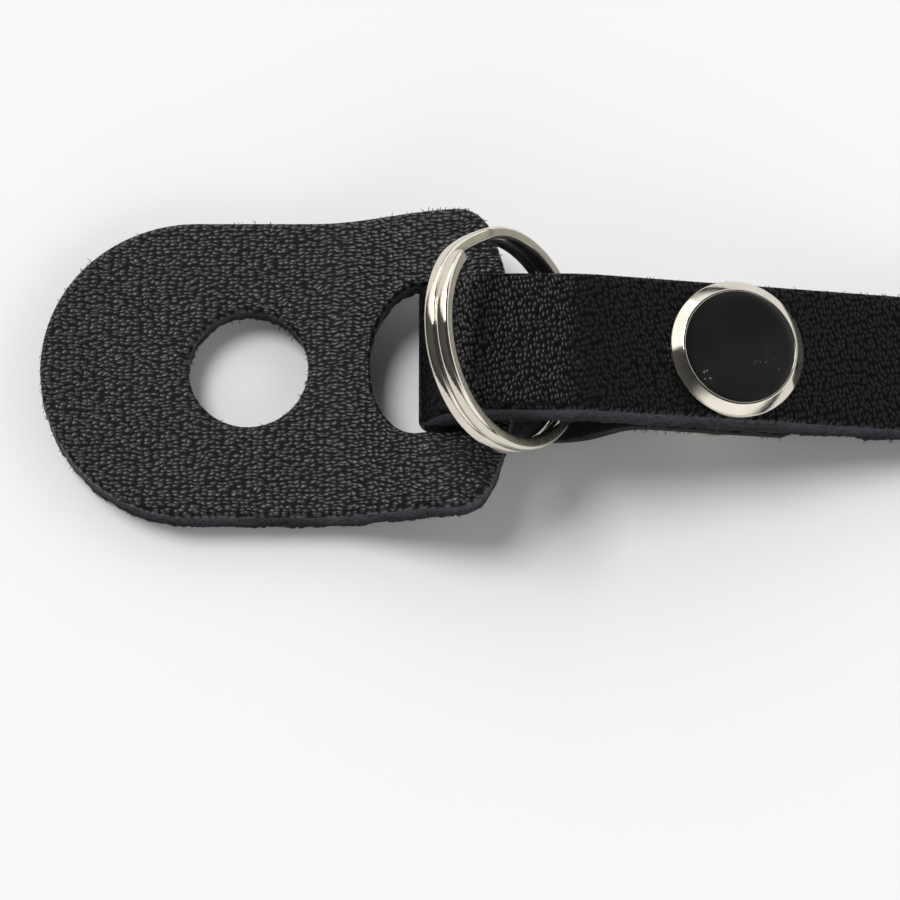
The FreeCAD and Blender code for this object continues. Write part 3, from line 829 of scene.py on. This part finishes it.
bm = wire_section()
bmesh.ops.rotate(bm, verts=bm.verts[:], cent=(0, 0, 0),
                 matrix=Matrix.Rotation(math.radians(RING_TURN), 3, "Z"))
ease = [n / 16 for n in range(17)]
drops = [COIL_PITCH * (b * b * (3 - 2 * b) - a * a * (3 - 2 * a)) for a, b in zip(ease, ease[1:])]
turns = [COIL] + [(2, 1, drop) for drop in drops] + [COIL]
front = bm.edges[:]
for angle, steps, drop in turns:
    made = bmesh.ops.spin(bm, geom=front, cent=(0, 0, 0), axis=(0, 0, 1), dvec=(0, 0, -drop / steps),
                          angle=math.radians(angle), steps=steps)
    front = [item for item in made["geom_last"] if isinstance(item, bmesh.types.BMEdge)]
bmesh.ops.contextual_create(bm, geom=front)
bmesh.ops.recalc_face_normals(bm, faces=bm.faces[:])
# The flat sides take the rubbed nickel, whose darker olive tone is a painted reflection.
for face in bm.faces:
    face.smooth = len(face.verts) == 4
    face.material_index = int(abs(face.normal.z) > 0.9)
lean = Vector((0, 0, 1)).rotation_difference(Vector(EYE["axis"])).to_matrix().to_4x4()
bmesh.ops.transform(bm, matrix=Matrix.Translation(EYE["pos_m"]) @ lean @ Matrix.Scale(MM, 4),
                    verts=bm.verts[:])
hand_over("ring_wire", bm, [NICKEL, RUBBED_AND_SHADED], "ring", "split_ring")

# %% [markdown]
# ## The binding screw
# The post's head is turned: a flat rim, a bevel and a short wall, with a shallow recess for the
# enamel. Half its section is drawn, its corners are eased, and a full spin closes it. The head sits
# square to the sloping strap.

# %% Turn the post and its enamel
SEAT_PLACE = Matrix.Translation(Vector((SEAT.x, 0, SEAT.y)) * MM) @ Matrix.Rotation(SLOPE, 4, "Y")


def turned(corners):
    """A closed solid of revolution at the screw's seat, from (radius, height, rounding) corners."""
    bm = rounded_section(corners)
    section = bm.faces[:]
    bmesh.ops.spin(bm, geom=bm.edges[:], cent=(0, 0, 0), axis=(0, 0, 1), angle=math.tau, steps=160,
                   use_merge=True)
    bmesh.ops.delete(bm, geom=[face for face in section if face.is_valid], context="FACES_ONLY")
    bmesh.ops.remove_doubles(bm, verts=bm.verts[:], dist=1e-4)
    bmesh.ops.recalc_face_normals(bm, faces=bm.faces[:])
    for face in bm.faces:
        face.smooth = True
    bmesh.ops.transform(bm, matrix=SEAT_PLACE @ Matrix.Scale(MM, 4), verts=bm.verts[:])
    return bm


HEAD, RECESS, BARREL, BORE = 5.0, 4.1, 2.5, 1.95
HEAD_TOP, RECESS_FLOOR, BARREL_END, BORE_END = 1.05, 0.90, -4.6, -0.4
POST = [(0, RECESS_FLOOR, 0), (RECESS, RECESS_FLOOR, 0), (RECESS, HEAD_TOP, 0.03), (4.25, HEAD_TOP, 0.05),
        (HEAD, 0.45, 0.10), (HEAD, 0.0, 0.10), (BARREL, 0.0, 0), (BARREL, BARREL_END, 0.1),
        (BORE, BARREL_END, 0), (BORE, BORE_END, 0), (0, BORE_END, 0)]
hand_over("screw_post_head", turned(POST), [NICKEL], "strap", "screw_post")
FILL = [(0, 0.91, 0), (4.09, 0.91, 0), (4.09, 1.03, 0.02), (3.7, 1.045, 0.1), (0, 1.045, 0)]
hand_over("enamel_fill", turned(FILL), [ENAMEL], "strap", "enamel_face")
back_screw = frame["nodes"]["back_screw"]
for place in range(len(back_screw.data.materials)):
    back_screw.data.materials[place] = NICKEL

# %% [markdown]
# ## Floor, light and camera
# A pale floor, a large soft window up and behind on the left, and a room that fills the shadows.
# The room has a bright pane behind on the left and a brighter band low on the right. It is darkest
# overhead and on the left, which gives bright metal its dark bands. The camera looks down steeply
# from the front.

# %% Floor
FLOOR_Z = -0.00003
bm = bmesh.new()
bmesh.ops.create_grid(bm, x_segments=1, y_segments=1, size=3.0, matrix=Matrix.Translation((0, 0, FLOOR_Z)))
floor_mesh = bpy.data.meshes.new("floor")
bm.to_mesh(floor_mesh)
bm.free()
paper, tree, shader = start_material("white_paper", Roughness=0.9, Specular_IOR_Level=0.1)
shader.inputs["Base Color"].default_value = linear("#f6f6f6")
floor_mesh.materials.append(paper)
floor = bpy.data.objects.new("floor", floor_mesh)
bpy.context.scene.collection.objects.link(floor)
floor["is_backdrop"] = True

# %% Lights


def window(name, direction, wide, strength, colour):
    """A far soft light from this direction, wide degrees across."""
    lamp = bpy.data.lights.new(name, "SUN")
    lamp.angle = math.radians(wide)
    lamp.energy = strength
    lamp.color = linear(colour)[:3]
    holder = bpy.data.objects.new(name, lamp)
    holder.rotation_euler = Vector(direction).to_track_quat("Z", "Y").to_euler()
    bpy.context.scene.collection.objects.link(holder)


window("window_light", (-0.38, 0.38, 0.84), 26, 1.78, "#ffffff")
PANE_TOWARD = Vector((-0.62, 0.62, 0.48)).normalized()
PANE_GLOW, BAND_GLOW, LEAST_GLOW = 1.4, 1.15, 0.05

world = bpy.data.worlds.new("room")
bpy.context.scene.world = world
world.use_nodes = True
tree = world.node_tree
tree.nodes.clear()
toward = add_node(tree, "ShaderNodeTexCoord").outputs["Generated"]
axes = add_node(tree, "ShaderNodeSeparateXYZ", {0: toward})
above = add_node(tree, "ShaderNodeMapRange",
                 {"Value": axes.outputs["Z"], "From Min": 0.05, "From Max": 0.25},
                 interpolation_type="SMOOTHSTEP")
below = add_node(tree, "ShaderNodeMapRange",
                 {"Value": axes.outputs["Z"], "From Min": 0.60, "From Max": 0.82,
                  "To Min": 1.0, "To Max": 0.0}, interpolation_type="SMOOTHSTEP")
right = add_node(tree, "ShaderNodeMapRange",
                 {"Value": axes.outputs["X"], "From Min": -0.50, "From Max": -0.15,
                  "To Min": 0.04, "To Max": 1.0}, interpolation_type="SMOOTHSTEP")
band = add_node(tree, "ShaderNodeMath", {0: above.outputs[0], 1: below.outputs[0]}, operation="MULTIPLY")
lit = add_node(tree, "ShaderNodeMath", {0: band.outputs[0], 1: right.outputs[0]}, operation="MULTIPLY")
facing = add_node(tree, "ShaderNodeVectorMath", {0: toward, 1: PANE_TOWARD}, operation="DOT_PRODUCT")
pane = add_node(tree, "ShaderNodeMapRange",
                {"Value": facing.outputs["Value"], "From Min": 0.86, "From Max": 0.90},
                interpolation_type="SMOOTHSTEP")
room = add_node(tree, "ShaderNodeMath", {0: lit.outputs[0], 1: BAND_GLOW, 2: LEAST_GLOW},
                operation="MULTIPLY_ADD")
strength = add_node(tree, "ShaderNodeMath", {0: pane.outputs[0], 1: PANE_GLOW, 2: room.outputs[0]},
                    operation="MULTIPLY_ADD")
glow = add_node(tree, "ShaderNodeBackground", {"Color": (1, 1, 1, 1), "Strength": strength.outputs[0]})
add_node(tree, "ShaderNodeOutputWorld", {"Surface": glow.outputs[0]})

# %% Camera
TARGET = Vector((14.7, -5.45, 0)) * MM
ELEVATION = math.radians(76)
DISTANCE = 240 * MM
FOCAL_MM = 131.1
lens = bpy.data.cameras.new("camera")
lens.sensor_width = 36
lens.lens = FOCAL_MM
lens.clip_start = 0.01
camera = bpy.data.objects.new("camera", lens)
back = Vector((0, -math.cos(ELEVATION), math.sin(ELEVATION)))
camera.location = TARGET + back * DISTANCE
camera.rotation_euler = (math.pi / 2 - ELEVATION, 0, 0)
bpy.context.scene.collection.objects.link(camera)
bpy.context.scene.camera = camera
bpy.context.scene.view_settings.view_transform = "Standard"

# %% [markdown]
# Both boxes, the construction's and the visual model's, are printed in millimetres.

# %% Sizes
LOOKS_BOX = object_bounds()
sizes = {"cad": [list(corner) for corner in CAD_BOX], "visual": [list(corner) for corner in LOOKS_BOX]}
for name, box in sizes.items():
    print(name, [[round(value * 1000, 2) for value in corner] for corner in box])
